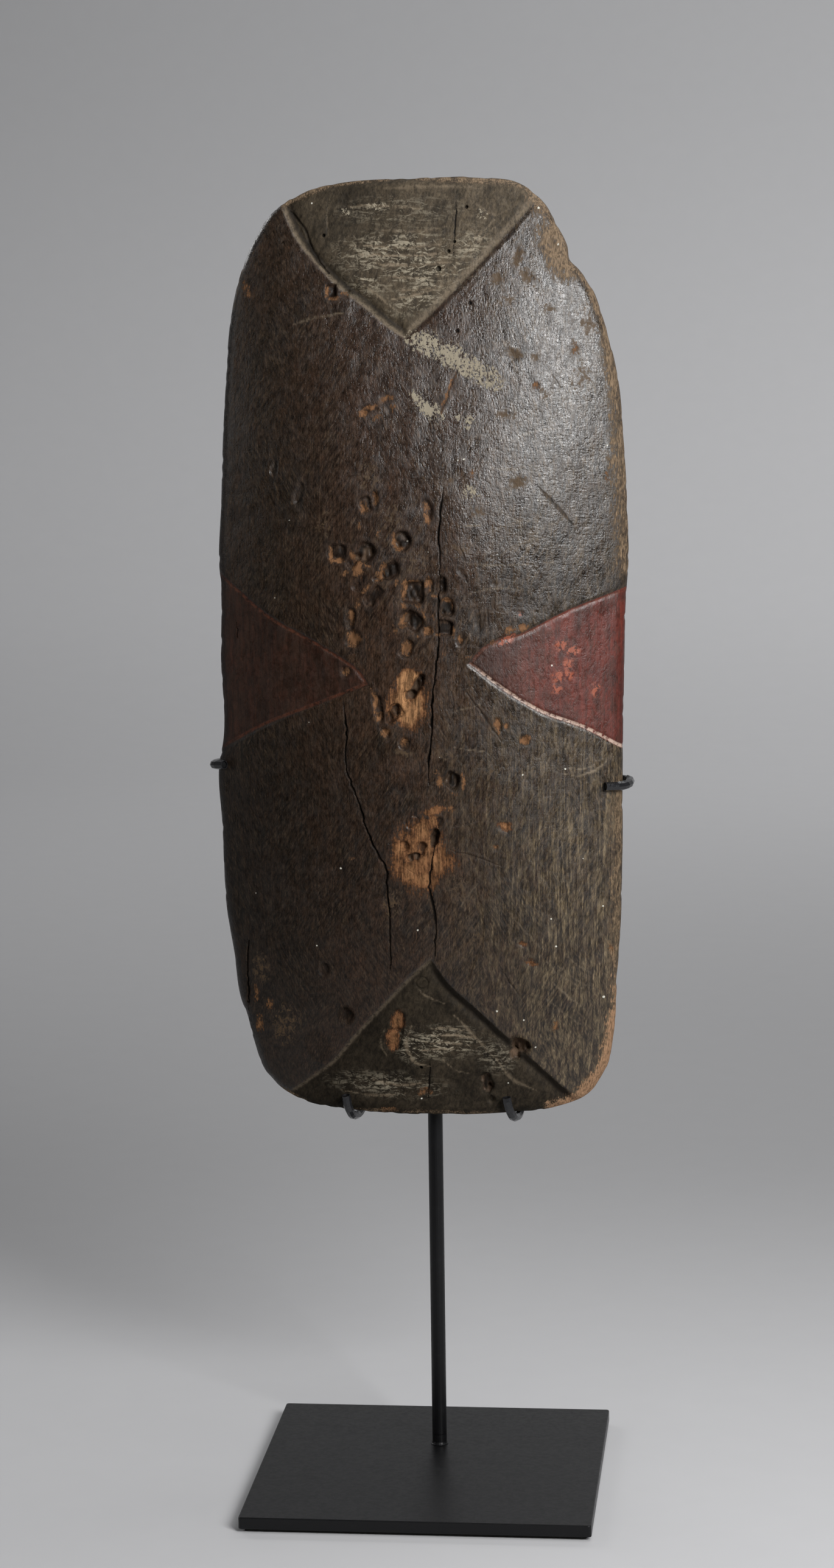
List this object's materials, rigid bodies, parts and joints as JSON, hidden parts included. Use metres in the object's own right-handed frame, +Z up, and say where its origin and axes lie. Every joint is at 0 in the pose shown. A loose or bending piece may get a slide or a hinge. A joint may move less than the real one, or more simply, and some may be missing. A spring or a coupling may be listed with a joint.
{
  "type": "aboriginal shield",
  "caption": "Carved wooden shield with cut V lines, side triangles and a hand grip in its back, held upright by padded wire fingers on a black steel rod and square base",
  "frame": {"origin": "The middle of the underside of the base, on the floor.", "axes": "+Z is up and along the shield's length. -Y is the way the shield's face looks. +X is to the right of someone who looks at the face."},
  "size_m": [0.2829, 0.23, 0.8695],
  "materials": {
    "shield_wood": "dark worn wood, dull with a broken shine",
    "steel": "satin black",
    "pad": "matte",
    "sleeve": "gloss"
  },
  "bodies": {
    "root": {"base_pad": "pad", "base_plate": "steel", "post_socket": "steel", "post": "steel", "side_arm": "steel", "lower_arm": "steel", "sleeve_left": "sleeve", "sleeve_right": "sleeve", "sleeve_lower_left": "sleeve", "sleeve_lower_right": "sleeve", "shield": "shield_wood"}
  },
  "joints": []
}
